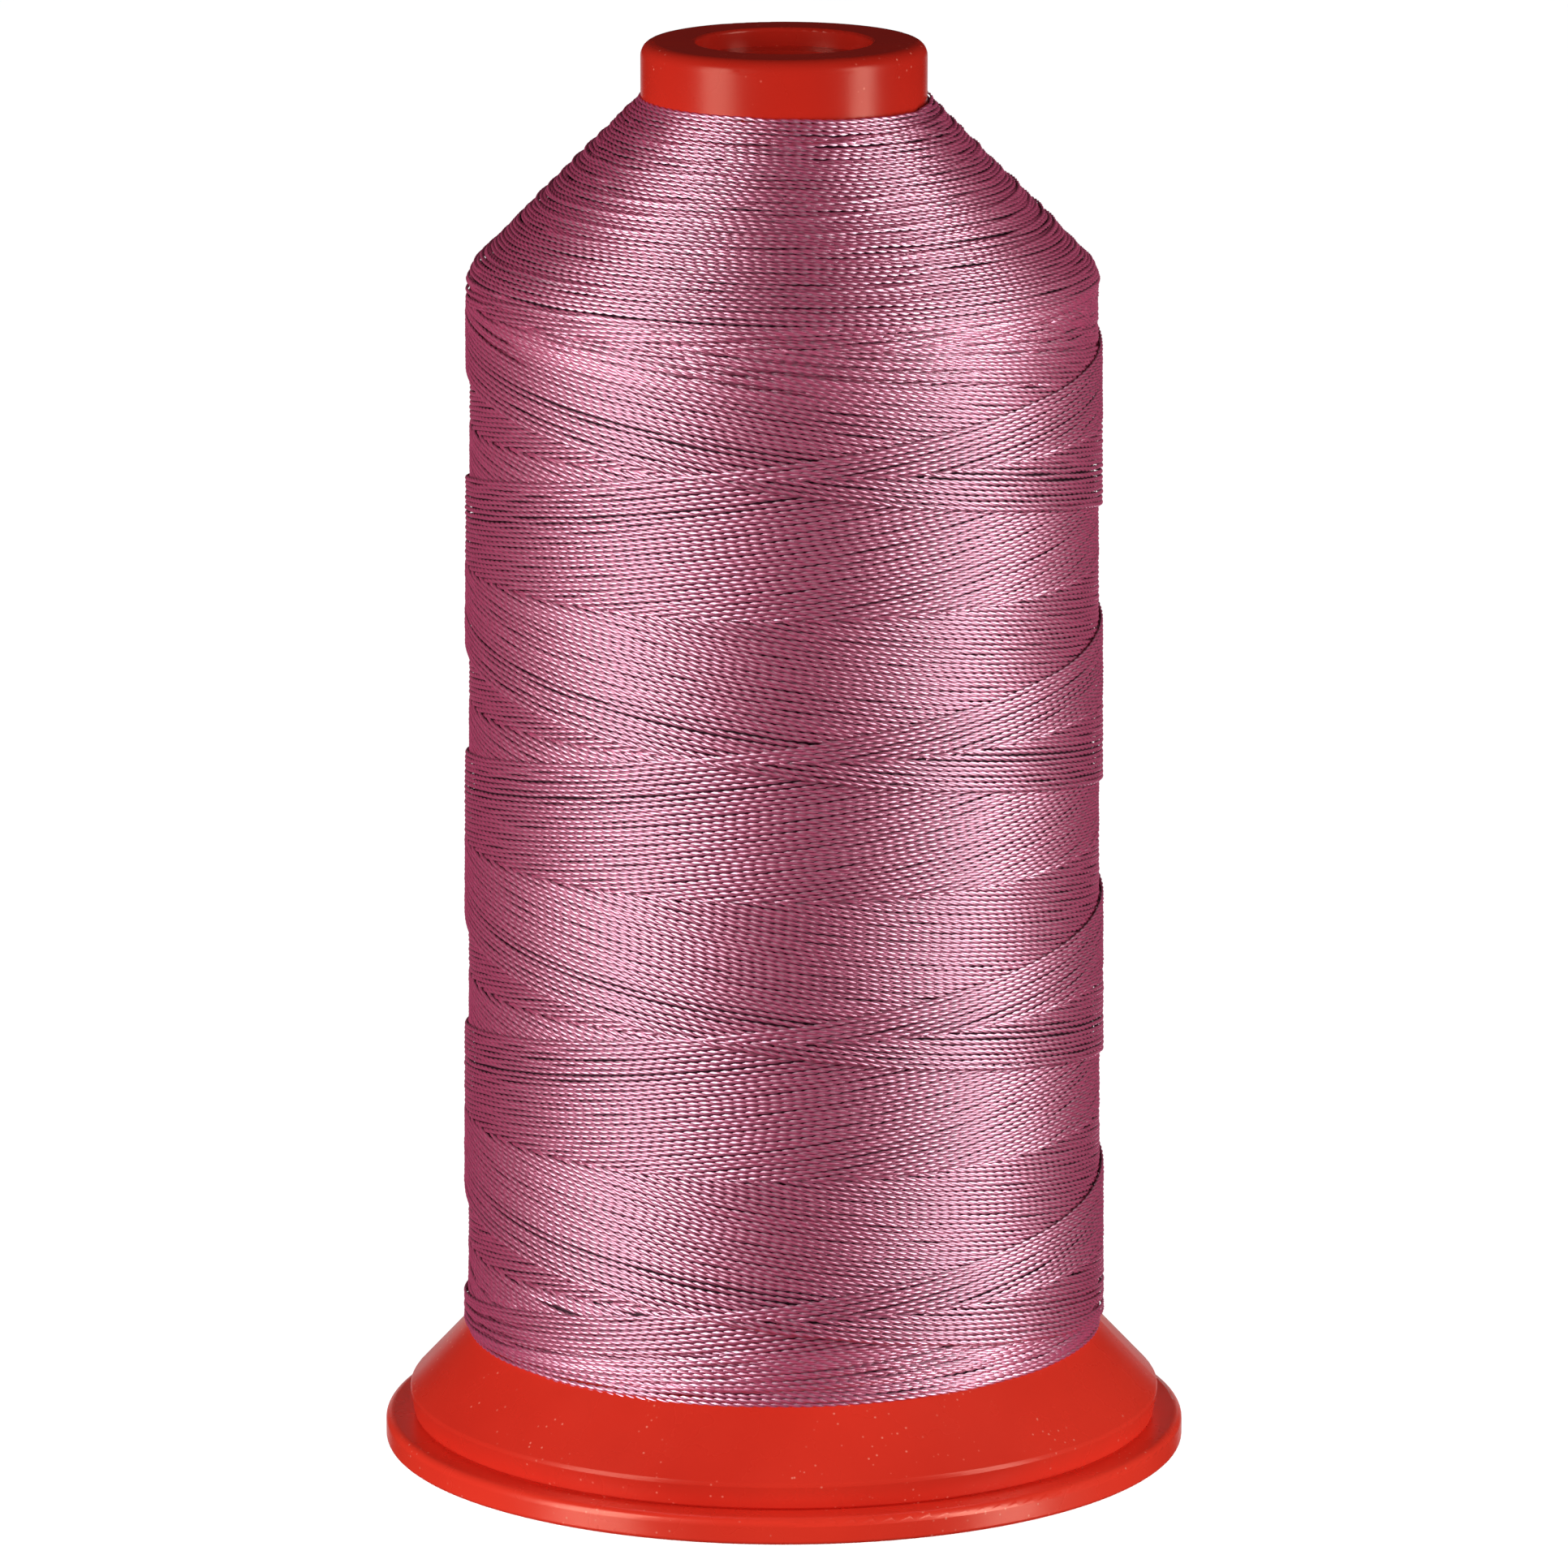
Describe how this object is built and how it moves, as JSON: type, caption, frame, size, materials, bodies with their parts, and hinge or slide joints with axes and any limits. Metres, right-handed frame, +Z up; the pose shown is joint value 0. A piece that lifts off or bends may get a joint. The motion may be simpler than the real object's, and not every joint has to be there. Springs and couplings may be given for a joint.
{
  "type": "spool of thread",
  "caption": "Foot spool of cross-wound sewing thread on a hollow moulded barrel with a collar, a conical skirt and a round base that snaps open to hold the thread tail.",
  "frame": {"origin": "middle of the face that the spool stands on", "axes": "+Z up along the spool's axis, from the base to the collar; X and Y are free, because the shape is round"},
  "size_m": [0.0578, 0.0578, 0.102],
  "materials": {
    "body_plastic": "glossy moulded plastic with faint dust and moulding marks",
    "base_plastic": "glossy moulded plastic with faint dust and moulding marks",
    "thread": "satin three-ply twisted polyester thread, cross wound",
    "label_paper": "matt coated paper, blank"
  },
  "bodies": {
    "spool": {"spool_body": "body_plastic", "thread_package": "thread"},
    "snap_base": {"snap_base": "base_plastic", "base_label": "label_paper"}
  },
  "joints": [
    {"name": "base_slide", "type": "slide", "parent": "snap_base", "child": "spool", "axis": [0, 0, 1], "range_m": [0, 0.003]}
  ]
}
